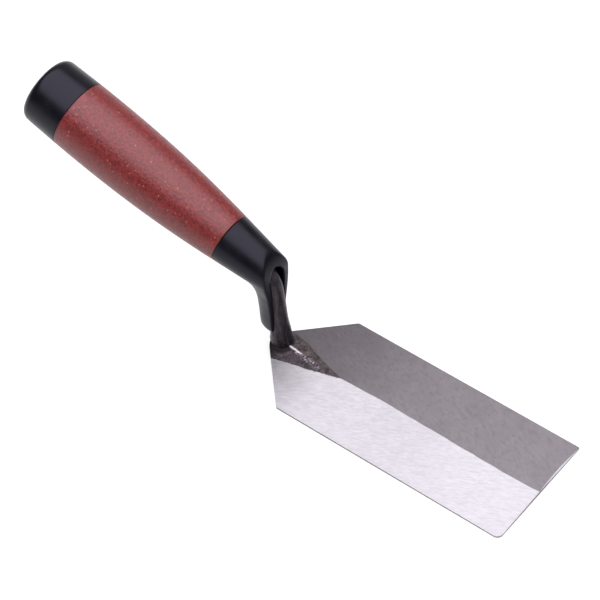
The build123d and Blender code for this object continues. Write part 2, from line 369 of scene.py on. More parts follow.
def plastic_material(name):
    n = Nodes(name)
    p = n.mapped(scale=(1, 1, 1))
    grain = n.noise(p, 3200.0, 3.0, 0.6)
    soft = n.noise(p, 160.0, 3.0, 0.55)
    spots = n.noise(p, 1100.0, 2.0, 0.5)
    col = n.mix(n.ramp(soft, 0.35, 0.7), (0.0028, 0.0028, 0.0042), (0.0046, 0.0045, 0.0064))
    col = n.mix(n.ramp(spots, 0.66, 0.78), col, (0.010, 0.0098, 0.013))
    n.put(n.bsdf.inputs["Base Color"], col)
    rough = n.math("ADD", n.ramp(soft, 0.3, 0.7, 0.30, 0.36), n.math("MULTIPLY", n.math("SUBTRACT", grain, 0.5), 0.08))
    n.put(n.bsdf.inputs["Roughness"], rough)
    n.bsdf.inputs["Specular IOR Level"].default_value = 0.235
    n.bsdf.inputs["Specular Tint"].default_value = (0.84, 0.82, 1.0, 1.0)
    n.put(n.bsdf.inputs["Normal"], n.bump(n.math("ADD", n.math("MULTIPLY", grain, 0.6), n.math("MULTIPLY", spots, 0.4)), 0.35, 0.00006))
    return n.mat


def grip_material(name):
    n = Nodes(name)
    p = n.mapped(scale=(1, 1, 1))
    grain = n.noise(p, 2600.0, 3.0, 0.65)
    blot = n.noise(p, 900.0, 3.0, 0.6)
    cloud = n.noise(p, 70.0, 3.0, 0.55)
    col = n.mix(n.ramp(blot, 0.34, 0.66), srgb(84, 12, 13), srgb(123, 28, 27))
    col = n.mix(n.math("MULTIPLY", n.ramp(cloud, 0.35, 0.7), 0.5), col, srgb(104, 23, 19))
    col = n.mix(n.math("MULTIPLY", n.ramp(grain, 0.56, 0.70), 0.55), col, srgb(152, 66, 60))
    cells = n.voronoi(p, 620.0)
    fleck = n.ramp(cells.outputs["Distance"], 0.26, 0.10)
    pick = n.t.nodes.new("ShaderNodeSeparateColor")
    n.put(pick.inputs[0], cells.outputs["Color"])
    fleck = n.math("MULTIPLY", fleck, n.ramp(pick.outputs[0], 0.60, 0.95))
    col = n.mix(n.math("MULTIPLY", fleck, 0.55), col, srgb(188, 120, 106))
    dark = n.ramp(blot, 0.38, 0.26)
    col = n.mix(n.math("MULTIPLY", dark, 0.7), col, srgb(48, 12, 14))
    n.put(n.bsdf.inputs["Base Color"], col)
    n.put(n.bsdf.inputs["Roughness"], n.ramp(grain, 0.3, 0.7, 0.32, 0.46))
    n.bsdf.inputs["Specular IOR Level"].default_value = 0.56
    n.put(n.bsdf.inputs["Normal"], n.bump(n.math("ADD", n.math("MULTIPLY", grain, 0.6), n.math("MULTIPLY", blot, 0.9)), 0.8, 0.00018))
    return n.mat


# the two facets are one ground steel: the near facet's lighter grey is painted light, and the far facet's grey, about
# half as bright, is painted shade
mat_near_painted_light = steel_material("ground_steel_near_painted_light", 25.0, (0.379, 0.370, 0.382), 0.25, (0.050, 0.039, 0.044), 1.07, 1.0, 1.09)
mat_far_painted_shade = steel_material("ground_steel_far_painted_shade", -24.0, (0.190, 0.174, 0.182), 0.85, (0.067, 0.053, 0.052), 0.54, 0.75, 0.98)
mat_edge = edge_material("ground_edge")
mat_bevel = bevel_material("ground_bevel")
mat_shank = shank_material("forged_shank")
mat_plastic = plastic_material("black_plastic")
mat_cap = plastic_material("black_plastic_cap")
mat_grip = grip_material("red_grip")

# ------------------------------------------------------------------ blade
ridge_line = spline([
    (-64, -0.1), (-56, -0.25), (-50, -0.7), (-46.3, -0.95), (-42.7, -1.15), (-39, -1.4), (-35.4, -1.5), (-31.5, -1.35),
    (-26.4, -1.05), (-20, -0.85), (-13, -0.66), (-6, -0.45), (2, -0.55), (10, -0.6), (20, -0.72), (30, -0.86),
    (40, -0.9), (50, -0.8), (56, -0.76), (59.5, -0.64), (62, -0.4), (64, -0.1)])
near_line = spline([(-56.0, -9.3), (-53.95, -8.64), (-50.5, -7.65), (-47.6, -6.85), (-44.3, -5.95), (-39.7, -4.95), (-36.0, -3.86), (-32.2, -2.8), (-28.4, -1.7), (-26.4, -1.05)])
far_line = spline([(-58.0, 6.9), (-55.2, 6.5), (-52.0, 6.05), (-48.6, 5.45), (-45.0, 4.5), (-41.7, 3.4), (-35.9, 1.35), (-31.7, 0.25), (-26.4, -1.05)])
relief_line = spline([(-64, 1.75), (-56, 1.7), (-52, 1.55), (-49.4, 1.38), (-46.3, 1.2), (-42.7, 0.98), (-39, 0.78), (-35.4, 0.56), (-31.5, 0.33), (-28.5, 0.15), (-26.4, 0.0)])
TIP_X = -26.4


def ridge_y(x):
    x = np.asarray(x, float)
    wave = 0.16 * noise(x / 4.3, 0.0, 7.5, 3) + 0.07 * noise(x / 1.7, 0.0, 2.5, 4)
    return ridge_line(x) + wave * smooth01(-27, -15, x)


def facet_z(x, y):
    yr = ridge_y(x)
    t = np.where(y < yr, (yr - y) / (HALF_W + yr), (y - yr) / (HALF_W - yr))
    rise = RIDGE_RISE - 0.50 * smooth01(20.0, 70.0, x)
    z = EDGE_T + rise * (1 - np.clip(t, 0, 1.2)) + HEEL_GAIN * (HALF_L - x) / (HALF_L - X_HEEL)
    return z


def bevel_x(y):
    """Rear line of the narrow lens ground along the far half of the front edge."""
    yr = float(ridge_line(HALF_L))
    t = np.clip((np.asarray(y, float) - yr) / (HALF_W - FAR_R - yr), 0, 1)
    return HALF_L - BEVEL * np.sin(math.pi * t)


def wedge_t(x, y):
    """0 on the crest, 1 on the scale's boundary, and more outside."""
    yr = ridge_y(x)
    ln, rf = near_line(x), far_line(x)
    near = (yr - y) / np.maximum(yr - ln, 1e-3)
    far = (y - yr) / np.maximum(rf - yr, 1e-3)
    t = np.where(y < yr, near, far)
    return np.where(x > TIP_X, 9.0, t)


def wedge_distance(x, y):
    """About how far inside the scale's boundary, in mm, negative outside."""
    d_near = (y - near_line(x)) * 0.96
    d_far = (far_line(x) - y) * 0.93
    d = np.minimum(d_near, d_far)
    tip = -np.hypot(x - TIP_X, y + 1.05)
    return np.where(x > TIP_X, tip, d)


def top_height(x, y):
    x, y = np.asarray(x, float), np.asarray(y, float)
    z = facet_z(x, y) - BEVEL_SLOPE * np.maximum(x - bevel_x(y), 0)
    t = np.clip(wedge_t(x, y), 0, 1)
    s = 1 - (np.sqrt(t * t + 0.004) - 0.0632) / (math.sqrt(1.004) - 0.0632)
    rough = 0.075 * noise(x / 1.5, y / 1.1, 0.3, 11) + 0.035 * noise(x / 0.6, y / 0.6, 0.7, 12)
    inside = smooth01(0.0, 0.5, wedge_distance(x, y))
    return z + relief_line(x) * s + rough * inside


def arc(cx, cy, r, a0, a1, n):
    return [(cx + r * math.cos(math.radians(a0 + (a1 - a0) * i / n)), cy + r * math.sin(math.radians(a0 + (a1 - a0) * i / n))) for i in range(n + 1)]


def outline_points(step):
    """The blade's outline, anticlockwise from the near front corner."""
    k = HEEL_R * math.tan(HEEL_ANGLE / 2)
    hx, hy = X_HEEL + k, HALF_W - HEEL_R
    nc = X_HEEL - HEEL_RUN + NOSE_R / math.sin(HEEL_ANGLE)
    lean = 90 + math.degrees(HEEL_ANGLE)
    pts = arc(HALF_L - NEAR_R, -HALF_W + NEAR_R, NEAR_R, -90, 0, 9)
    pts += arc(HALF_L - FAR_R, HALF_W - FAR_R, FAR_R, 0, 90, 5)
    pts += arc(hx, hy, HEEL_R, 90, lean, 3)
    pts += arc(nc, 0, NOSE_R, lean, 360 - lean, 24)
    pts += arc(hx, -hy, HEEL_R, 360 - lean, 270, 3)
    out = []
    for i, p in enumerate(pts):
        q = pts[(i + 1) % len(pts)]
        out.append(p)
        length = math.dist(p, q)
        parts = max(1, int(round(length / step)))
        if parts > 1:
            for j in range(1, parts):
                s = j / parts
                out.append((p[0] + (q[0] - p[0]) * s, p[1] + (q[1] - p[1]) * s))
    return out


def inside_polygon(px, py, poly):
    px, py = np.asarray(px), np.asarray(py)
    hit = np.zeros(px.shape, bool)
    x0, y0 = np.array([p[0] for p in poly]), np.array([p[1] for p in poly])
    x1, y1 = np.roll(x0, -1), np.roll(y0, -1)
    for a, b, c, d in zip(x0, y0, x1, y1):
        if b == d:
            continue
        cond = (b > py) != (d > py)
        hit ^= cond & (px < (c - a) * (py - b) / (d - b) + a)
    return hit


def near_any(px, py, pts, gap):
    """True where a point is closer than gap to any of pts."""
    cell = gap
    grid = {}
    for x, y in pts:
        grid.setdefault((int(math.floor(x / cell)), int(math.floor(y / cell))), []).append((x, y))
    out = np.zeros(len(px), bool)
    for i, (x, y) in enumerate(zip(px, py)):
        gx, gy = int(math.floor(x / cell)), int(math.floor(y / cell))
        for a in (-1, 0, 1):
            for b in (-1, 0, 1):
                for q in grid.get((gx + a, gy + b), ()):
                    if (q[0] - x) ** 2 + (q[1] - y) ** 2 < gap * gap:
                        out[i] = True
                        break
                if out[i]:
                    break
            if out[i]:
                break
    return out


FOOT_X, FOOT_Y, FOOT_R, ROD_N = -55.1, 0.0, 4.1, 64


def build_forging():
    outline = outline_points(0.8)

    def snap(p):
        i = min(range(len(outline)), key=lambda j: math.dist(outline[j], p))
        outline[i] = p
        return p

    # where the scale's two boundary lines run out over the heel edges
    def run_out(line, sign):
        best = None
        for x in np.linspace(-59.0, -50.0, 1801):
            y = float(line(x))
            if not inside_polygon(np.array([x]), np.array([y]), outline)[0]:
                best = (x, y)
        return best

    def project(p):
        """The nearest point on the outline."""
        best, bd = None, 1e9
        for i, a in enumerate(outline):
            b = outline[(i + 1) % len(outline)]
            ab = (b[0] - a[0], b[1] - a[1])
            l2 = ab[0] ** 2 + ab[1] ** 2
            t = max(0.0, min(1.0, ((p[0] - a[0]) * ab[0] + (p[1] - a[1]) * ab[1]) / l2))
            q = (a[0] + ab[0] * t, a[1] + ab[1] * t)
            d = math.dist(p, q)
            if d < bd:
                best, bd = q, d
        return best

    front_ridge = snap((HALF_L, float(ridge_y(HALF_L))))
    start_near = snap(project(run_out(near_line, -1)))
    start_far = snap(project(run_out(far_line, 1)))
    verts = list(outline)
    edges = [(i, (i + 1) % len(outline)) for i in range(len(outline))]
    n_out = len(outline)
    index = {v: i for i, v in enumerate(verts)}

    def add_chain(points):
        ids = []
        for p in points:
            p = (float(p[0]), float(p[1]))
            if p not in index:
                index[p] = len(verts)
                verts.append(p)
            ids.append(index[p])
        for a, b in zip(ids, ids[1:]):
            edges.append((a, b))
        return ids

    tip = (TIP_X, -1.05)
    chains = []
    for start, line in ((start_near, near_line), (start_far, far_line)):
        xs = np.arange(start[0] + 0.5, TIP_X - 0.3, 0.5)
        chains.append(add_chain([start] + [(x, float(line(x))) for x in xs] + [tip]))
    foot = [(FOOT_X + FOOT_R * math.cos(2 * math.pi * i / ROD_N), FOOT_Y + FOOT_R * math.sin(2 * math.pi * i / ROD_N)) for i in range(ROD_N)]
    foot_ids = add_chain(foot + [foot[0]])[:-1]
    # crest from the shank to the tip, ridge from the tip to the front bevel, and the bevel's rear line
    front_i = min(range(ROD_N), key=lambda i: math.dist(foot[i], (FOOT_X + FOOT_R, -0.6)))
    xs = np.arange(foot[front_i][0] + 0.4, TIP_X - 0.2, 0.4)
    chains.append(add_chain([foot[front_i]] + [(x, float(ridge_y(x))) for x in xs] + [tip]))
    xs = np.arange(TIP_X + 0.7, HALF_L - 0.5, 0.7)
    chains.append(add_chain([tip] + [(x, float(ridge_y(x))) for x in xs] + [front_ridge]))
    ridge_chain = chains[-1]
    ys = np.arange(front_ridge[1] + 1.6, HALF_W - FAR_R - 1.2, 0.8)
    corner_pt = min(outline, key=lambda p: math.dist(p, (HALF_L, HALF_W - FAR_R)))
    chains.append(add_chain([front_ridge] + [(float(bevel_x(y)), float(y)) for y in ys] + [corner_pt]))
    bevel_chain = chains[-1]

    # interior points: an even triangular lattice, finer in the scale
    def hexes(x0, x1, y0, y1, h):
        rows = []
        for j, y in enumerate(np.arange(y0, y1, h * math.sqrt(3) / 2)):
            xs = np.arange(x0 + (h / 2 if j % 2 else 0), x1, h)
            rows.append(np.stack([xs, np.full_like(xs, y)], 1))
        return np.concatenate(rows)

    coarse = hexes(-60, 64, -26, 26, 0.95)
    fine = hexes(-60, -25, -11, 9, 0.36)
    wd = wedge_distance(coarse[:, 0], coarse[:, 1])
    coarse = coarse[(wd < -0.5) | (coarse[:, 0] > TIP_X)]
    coarse = coarse[np.hypot(coarse[:, 0] - FOOT_X, coarse[:, 1] - FOOT_Y) > FOOT_R + 0.5]
    wd = wedge_distance(fine[:, 0], fine[:, 1])
    fine = fine[(wd > -0.6) & (fine[:, 0] < TIP_X + 0.4)]
    fine = fine[np.hypot(fine[:, 0] - FOOT_X, fine[:, 1] - FOOT_Y) > FOOT_R + 0.2]
    kept = []
    for pts, gap in ((fine, 0.2), (coarse, 0.5)):
        ok = inside_polygon(pts[:, 0], pts[:, 1], outline)
        pts = pts[ok]
        ok = ~near_any(pts[:, 0], pts[:, 1], verts, gap)
        pts = pts[ok]
        if kept:
            ok = ~near_any(pts[:, 0], pts[:, 1], [tuple(p) for p in kept[0]], 0.45)
            pts = pts[ok]
        kept.append(pts)
    for pts in kept:
        verts.extend((float(a), float(b)) for a, b in pts)

    res = delaunay_2d_cdt([Vector(v) for v in verts], edges, [], 0, 1e-5)
    co = np.array([(v.x, v.y) for v in res[0]])
    tris = np.array([tuple(f) for f in res[2]])
    new_of_old = {}
    for new, olds in enumerate(res[3]):
        for o in olds:
            new_of_old[o] = new
    cen = co[tris].mean(1)
    keep = inside_polygon(cen[:, 0], cen[:, 1], outline) & (np.hypot(cen[:, 0] - FOOT_X, cen[:, 1] - FOOT_Y) > FOOT_R * 0.999)
    # a triangle whose three corners are all on the foot circle lies inside it
    foot_new = {new_of_old[i] for i in foot_ids}
    keep &= ~np.array([all(int(v) in foot_new for v in t) for t in tris])
    tris = tris[keep]
    a, b, c = co[tris[:, 0]], co[tris[:, 1]], co[tris[:, 2]]
    cross = (b[:, 0] - a[:, 0]) * (c[:, 1] - a[:, 1]) - (b[:, 1] - a[:, 1]) * (c[:, 0] - a[:, 0])
    tris[cross < 0] = tris[cross < 0][:, ::-1]
    z = top_height(co[:, 0], co[:, 1])
    V = [np.column_stack([co, z])]
    F = [tuple(t) for t in tris]
    cen = co[tris].mean(1)
    yr = ridge_y(cen[:, 0])
    M = np.where(cen[:, 1] < yr, 0, 1)
    on_bevel = cen[:, 0] > bevel_x(cen[:, 1]) + 0.02
    M = list(np.where(on_bevel, 3, M))
    count = len(co)
    rim = [new_of_old[i] for i in range(n_out)]
    sharp = []

    def ring(points):
        nonlocal count
        V.append(np.asarray(points, float))
        ids = list(range(count, count + len(points)))
        count += len(points)
        return ids

    def bridge(lower, upper, mat):
        """Quads between two loops that run anticlockwise seen from above or outside."""
        n = len(lower)
        for i in range(n):
            j = (i + 1) % n
            F.append((lower[i], lower[j], upper[j], upper[i]))
            M.append(mat)

    # thin side walls with a small broken corner at the top and bottom
    out_xy = np.array(outline)
    nrm = np.roll(out_xy, -1, 0) - np.roll(out_xy, 1, 0)
    nrm = np.column_stack([nrm[:, 1], -nrm[:, 0]])
    nrm /= np.linalg.norm(nrm, axis=1)[:, None]
    z_rim = top_height(out_xy[:, 0], out_xy[:, 1])
    lip = ring(np.column_stack([out_xy + nrm * 0.02, z_rim - 0.05]))
    low = ring(np.column_stack([out_xy + nrm * 0.02, np.full(n_out, 0.07)]))
    foot_rim = ring(np.column_stack([out_xy - nrm * 0.05, np.zeros(n_out)]))
    bridge(lip, rim, 2)
    bridge(low, lip, 2)
    bridge(foot_rim, low, 2)
    for loop in (rim, lip, low, foot_rim):
        sharp += [(loop[i], loop[(i + 1) % n_out]) for i in range(n_out)]
    # underside
    und = delaunay_2d_cdt([Vector(tuple(p)) for p in (out_xy - nrm * 0.05)] + [Vector(tuple(p)) for p in hexes(-58, 62, -24, 24, 6.0) if wedge_ok(p, outline)],
                          [(i, (i + 1) % n_out) for i in range(n_out)], [], 1, 1e-5)
    uco = np.array([(v.x, v.y) for v in und[0]])
    umap = {}
    for new, olds in enumerate(und[3]):
        for o in olds:
            if o < n_out:
                umap[new] = foot_rim[o]
    extra = [i for i in range(len(uco)) if i not in umap]
    ids = ring(np.column_stack([uco[extra], np.zeros(len(extra))])) if extra else []
    for i, k in zip(extra, ids):
        umap[i] = k
    for f in und[2]:
        f = list(f)
        p = uco[f]
        cr = (p[1, 0] - p[0, 0]) * (p[2, 1] - p[0, 1]) - (p[1, 1] - p[0, 1]) * (p[2, 0] - p[0, 0])
        f = f if cr < 0 else f[::-1]
        F.append(tuple(umap[i] for i in f))
        M.append(4)

    # shank: rings from the foot, up the rod, round the bend and down the tang
    ang = np.arange(ROD_N) * 2 * math.pi / ROD_N
    ca, sa = np.cos(ang), np.sin(ang)
    sx = spline([(s[1], s[0]) for s in SHANK])
    sr = spline([(s[1], s[2]) for s in SHANK])
    foot_z = top_height(np.array([p[0] for p in foot]), np.array([p[1] for p in foot]))
    base = [new_of_old[i] for i in foot_ids]
    prev = base
    first_rod = count

    def rod_radius(zz, a):
        """Hand-forged: slightly flattened sides, a burr low on the back and a shallow waist."""
        r = sr(zz) * (1 + 0.012 * np.cos(4 * a + 0.5 + zz * 0.02))
        calm = 1 - 0.6 * smooth01(12, 15, zz)
        r = r + 0.05 * noise(np.cos(a) * 2.2, np.sin(a) * 2.2, zz / 4.0, 21) * smooth01(3, 8, zz) * calm
        r = r + 0.035 * noise(np.cos(a) * 6.0, np.sin(a) * 6.0, zz / 1.3, 22) * calm
        burr = np.exp(-((np.mod(a - math.radians(218) + math.pi, 2 * math.pi) - math.pi) / 0.42) ** 2) * np.exp(-((zz - 5.0) / 0.9) ** 2)
        return r + 0.32 * burr

    steps = [0.06, 0.14, 0.25, 0.4, 0.6, 0.85]
    for i, h in enumerate(steps):
        q = i / (len(steps) - 1)
        zz = foot_z + h
        body = rod_radius(zz, ang)
        r = body + (FOOT_R - body) * (1 - q) ** 2.2
        cx = FOOT_X + (sx(zz) - FOOT_X) * q
        cur = ring(np.column_stack([cx + r * ca, r * sa, zz]))
        bridge(prev, cur, 5)
        prev = cur
    z_top = 8.0
    for q in np.linspace(0, 1, 10)[1:]:
        zz = (foot_z + steps[-1]) * (1 - q) + z_top * q
        r = rod_radius(zz, ang)
        cur = ring(np.column_stack([sx(zz) + r * ca, r * sa, zz]))
        bridge(prev, cur, 5)
        prev = cur
    for zz in np.arange(8.7, 30.6, 0.7):
        zz = np.full(ROD_N, zz)
        r = rod_radius(zz, ang)
        cur = ring(np.column_stack([sx(zz) + r * ca, r * sa, zz]))
        bridge(prev, cur, 5)
        prev = cur
    # bend onto the handle axis
    tx, tz, tr = SHANK[-1]
    lean = math.atan2(SHANK[-2][0] - tx, tz - SHANK[-2][1])
    up = np.array([-math.sin(lean), 0, math.cos(lean)])
    back = np.array([-AX, 0, -AZ])
    start = np.array([tx, 0, tz])
    face_pt = np.array([FACE_X, 0, FACE_Z])
    k = np.cross(face_pt - start, back)[1] / np.cross(up, back)[1]
    corner = start + up * k
    turn = math.acos(float(up @ back))
    t_len = BEND_R * math.tan(turn / 2)
    b0 = corner - up * t_len
    nv = back - up * float(up @ back)
    nv /= np.linalg.norm(nv)
    ctr = b0 + nv * BEND_R
    path = [(start + up * s, up) for s in np.arange(0.3, float((b0 - start) @ up), 0.8)]
    for q in np.linspace(0, 1, 13):
        th = turn * q
        path.append((ctr - nv * BEND_R * math.cos(th) + up * BEND_R * math.sin(th), up * math.cos(th) + nv * math.sin(th)))
    b1 = path[-1][0]
    for s in (1.5, 3.5, 4.5, 20.0, 40.0, 57.5):
        path.append((b1 + back * s, back))
    square = 0.0
    for i, (p, d) in enumerate(path):
        s = float((p - b1) @ back)
        square = float(smooth01(2.0, 4.5, s)) if i > len(path) - 7 else 0.0
        half = 2.85 - 0.85 * max(0.0, s) / 58.0
        rr = tr * (1 - square) + square * half / np.maximum(np.abs(ca), np.abs(sa)) * 0.98
        e1 = np.array([d[2], 0, -d[0]])
        cur = ring(p + np.outer(rr * ca, e1) + np.outer(rr * sa, np.array([0, 1.0, 0])))
        bridge(prev, cur, 5)
        prev = cur
    end = ring([path[-1][0] + back * 0.6])
    for i in range(ROD_N):
        F.append((prev[i], prev[(i + 1) % ROD_N], end[0]))
        M.append(5)

    for ch in (ridge_chain, bevel_chain):
        ids = [new_of_old[i] for i in ch]
        sharp += list(zip(ids, ids[1:]))
    V = np.concatenate(V)
    ob = new_object("blade_and_shank", V, F, [mat_near_painted_light, mat_far_painted_shade, mat_edge, mat_bevel, mat_near_painted_light, mat_shank], M)
    sd = np.full(len(V), -3.0, np.float32)
    sd[:len(co)] = np.clip(wedge_distance(co[:, 0], co[:, 1]), -3, 3)
    sd[first_rod:] = 3.0
    att = ob.data.attributes.new("scale", "FLOAT", "POINT")
    att.data.foreach_set("value", sd)
    # burnished crest, and a painted shadow round the shank's foot and along the near side of the heel
    cr = np.zeros(len(V), np.float32)
    x, y = co[:, 0], co[:, 1]
    side = y - ridge_y(x)
    cr[:len(co)] = np.exp(-(side / 0.60) ** 2) * smooth01(-51.3, -50.8, x) * (1 - smooth01(-47.4, -42.4, x))
    att = ob.data.attributes.new("crest", "FLOAT", "POINT")
    att.data.foreach_set("value", cr)
    sp = np.zeros(len(V), np.float32)
    sp[:len(co)] = np.exp(-((side + 0.35) / 1.15) ** 2) * smooth01(-50.4, -47.0, x) * (1 - smooth01(-39.5, -33.0, x))
    att = ob.data.attributes.new("specks", "FLOAT", "POINT")
    att.data.foreach_set("value", sp)
    foot_painted_shadow = np.zeros(len(V), np.float32)
    far_foot = np.hypot(x - FOOT_X, y - FOOT_Y) - FOOT_R
    shade = 1 - smooth01(np.where(y < -1.5, 0.9, 0.2), np.where(y < -1.5, 2.6, 1.3), far_foot)
    shade = np.maximum(shade, (1 - smooth01(-56.0, -50.5, x)) * (y < 0))
    foot_painted_shadow[:len(co)] = shade
    att = ob.data.attributes.new("foot", "FLOAT", "POINT")
    att.data.foreach_set("value", foot_painted_shadow)
    mark_sharp(ob.data, sharp)
    return ob


def wedge_ok(p, outline):
    return bool(inside_polygon(np.array([p[0]]), np.array([p[1]]), outline)[0]) and min(math.dist(p, q) for q in outline) > 1.5


# ------------------------------------------------------------------ hood, as a distance field turned into a mesh
TONGUE = [   # height, half width on -Y, half width on +Y, depth, squareness
    (9.0, 4.9, 4.2, 8.1, 2.4), (13.0, 5.05, 4.3, 8.15, 2.4), (16.6, 5.15, 4.35, 8.1, 2.5), (20.8, 5.2, 4.45, 8.2, 2.5),
    (23.0, 5.3, 4.75, 8.3, 2.5), (25.0, 5.4, 5.2, 8.5, 2.4), (28.2, 5.65, 5.9, 9.0, 2.3), (30.6, 5.9, 6.4, 10.0, 2.2),
    (33.8, 6.5, 6.9, 12.0, 2.1), (37.9, 7.1, 7.2, 13.2, 2.0), (42.3, 6.0, 6.0, 11.5, 2.0), (46.0, 4.0, 4.0, 7.5, 2.0),
    (60.0, 1.0, 1.0, 1.0, 2.0)]
SLOT = [     # height, half width on -Y, half width on +Y, depth
    (5.0, 4.25, 4.45, 5.0), (10.0, 4.18, 4.4, 5.0), (13.0, 3.78, 4.1, 5.0), (15.3, 3.62, 3.9, 5.0), (18.4, 3.54, 3.66, 5.0), (23.0, 3.44, 3.5, 5.1),
    (28.0, 3.36, 3.6, 6.0), (32.7, 3.5, 4.1, 8.3), (36.5, 4.1, 4.4, 10.6), (40.7, 4.15, 4.45, 13.0), (46.0, 4.15, 4.45, 13.0)]
t_near = spline([(t[0], t[1]) for t in TONGUE])
t_far = spline([(t[0], t[2]) for t in TONGUE])
t_dp = spline([(t[0], t[3]) for t in TONGUE])
t_sq = spline([(t[0], t[4]) for t in TONGUE])
s_near = spline([(t[0], t[1]) for t in SLOT])
s_far = spline([(t[0], t[2]) for t in SLOT])
s_dp = spline([(t[0], t[3]) for t in SLOT])
TONGUE_END = 10.05


def tube_d(x, y, z):
    dx, dz = x - BUTT_X, z - BUTT_Z
    u = dx * AX + dz * AZ
    rho = np.sqrt((dx - u * AX) ** 2 + y * y + (dz - u * AZ) ** 2)
    return (rho - radius(u)) * 0.994


def tongue_f(x, y, z):
    hw, dp, n = np.where(y < 0, t_near(z), t_far(z)), t_dp(z), t_sq(z)
    a = np.abs(y) / hw
    b = np.maximum(FACE_X - x, 0) / dp
    return ((a ** n + b ** n + 1e-9) ** (1 / n) - 1) * np.minimum(hw, dp)


def slot_f(x, y, z):
    hn, hf, dp = s_near(z), s_far(z), s_dp(z)
    hw = (hn + hf) / 2
    b = np.maximum(FACE_X - x - (dp - hw), 0)
    zz = np.maximum(z - 36.5, 0) * (4.3 / 7.0)
    yy = y * hw / np.where(y < 0, hn, hf)
    return np.sqrt(b * b + yy * yy + zz * zz) - hw


def face_d(x, y, z):
    """Flat front up to z = 40, then curving back over the brow."""
    up = np.clip(z - 40.0, 0, 10.0)
    c = np.sqrt(169.0 - up * up)
    return (x - (FACE_X - 13.0 + c)) * c / 13.0


def grad(f, x, y, z, e=0.04):
    gx = (f(x + e, y, z) - f(x - e, y, z)) / (2 * e)
    gy = (f(x, y + e, z) - f(x, y - e, z)) / (2 * e)
    gz = (f(x, y, z + e) - f(x, y, z - e)) / (2 * e)
    return gx, gy, gz


def smax(a, b, k):
    h = np.maximum(k - np.abs(a - b), 0) / k
    return np.maximum(a, b) + h * h * k * 0.25


def hood_d(x, y, z):
    d1 = tube_d(x, y, z)
    g1 = grad(tube_d, x, y, z)
    f2 = tongue_f(x, y, z)
    g2 = grad(tongue_f, x, y, z)
    l1 = np.sqrt(sum(g * g for g in g1)) + 1e-6
    l2 = np.sqrt(sum(g * g for g in g2)) + 1e-6
    d2 = f2 / np.clip(l2, 0.4, 3.0)
    dot = sum(a * b for a, b in zip(g1, g2)) / (l1 * l2)
    d2 = smax(d2, TONGUE_END - z, 3.6) + 3.0 * smooth01(43.0, 47.0, z)
    k = 9.0 * np.clip(1 - dot, 0.02, 1.0) * (1 - 0.95 * smooth01(37.0, 43.0, z))
    h = np.maximum(k - np.abs(d1 - d2), 0) / k
    d = np.minimum(d1, d2) - h * h * k * 0.25
    d = smax(d, face_d(x, y, z), 0.7)
    s = slot_f(x, y, z)
    gs = grad(slot_f, x, y, z)
    s = s / np.clip(np.sqrt(sum(g * g for g in gs)), 0.5, 2.0)
    return smax(d, -s, 0.45)


def surface_nets(F, origin, h):
    nx, ny, nz = F.shape
    inside = F < 0
    S = np.zeros((nx - 1, ny - 1, nz - 1, 3))
    N = np.zeros((nx - 1, ny - 1, nz - 1))
    idx = np.stack(np.meshgrid(np.arange(nx), np.arange(ny), np.arange(nz), indexing="ij"), -1).astype(float)
    crosses = []
    for ax in range(3):
        lo = [slice(None)] * 3
        hi = [slice(None)] * 3
        lo[ax], hi[ax] = slice(0, -1), slice(1, None)
        fl, fh = F[tuple(lo)], F[tuple(hi)]
        cross = inside[tuple(lo)] != inside[tuple(hi)]
        t = np.where(cross, fl / np.where(cross, fl - fh, 1), 0)
        P = idx[tuple(lo)].copy()
        P[..., ax] += t
        crosses.append((cross, inside[tuple(lo)]))
        others = [o for o in range(3) if o != ax]
        for d1 in (0, 1):
            for d2 in (0, 1):
                sl = [slice(None)] * 3
                sl[others[0]] = slice(d1, F.shape[others[0]] - 1 + d1)
                sl[others[1]] = slice(d2, F.shape[others[1]] - 1 + d2)
                m = cross[tuple(sl)]
                S += P[tuple(sl)] * m[..., None]
                N += m
    has = N > 0
    ids = np.full(has.shape, -1)
    ids[has] = np.arange(has.sum())
    verts = (S[has] / N[has][:, None]) * h + np.array(origin)
    quads = []
    for ax, (cross, ins) in enumerate(crosses):
        o1, o2 = [(1, 2), (2, 0), (0, 1)][ax]
        sl = [slice(None)] * 3
        sl[o1], sl[o2] = slice(1, F.shape[o1] - 1), slice(1, F.shape[o2] - 1)
        m = cross[tuple(sl)]
        w = np.argwhere(m)
        w[:, o1] += 1
        w[:, o2] += 1

        def cell(a, b):
            c = w.copy()
            c[:, o1] -= a
            c[:, o2] -= b
            return ids[c[:, 0], c[:, 1], c[:, 2]]

        q = np.stack([cell(1, 1), cell(0, 1), cell(0, 0), cell(1, 0)], 1)
        flip = ~ins[w[:, 0], w[:, 1], w[:, 2]]
        q[flip] = q[flip][:, ::-1]
        quads.append(q)
    return verts, np.concatenate(quads)


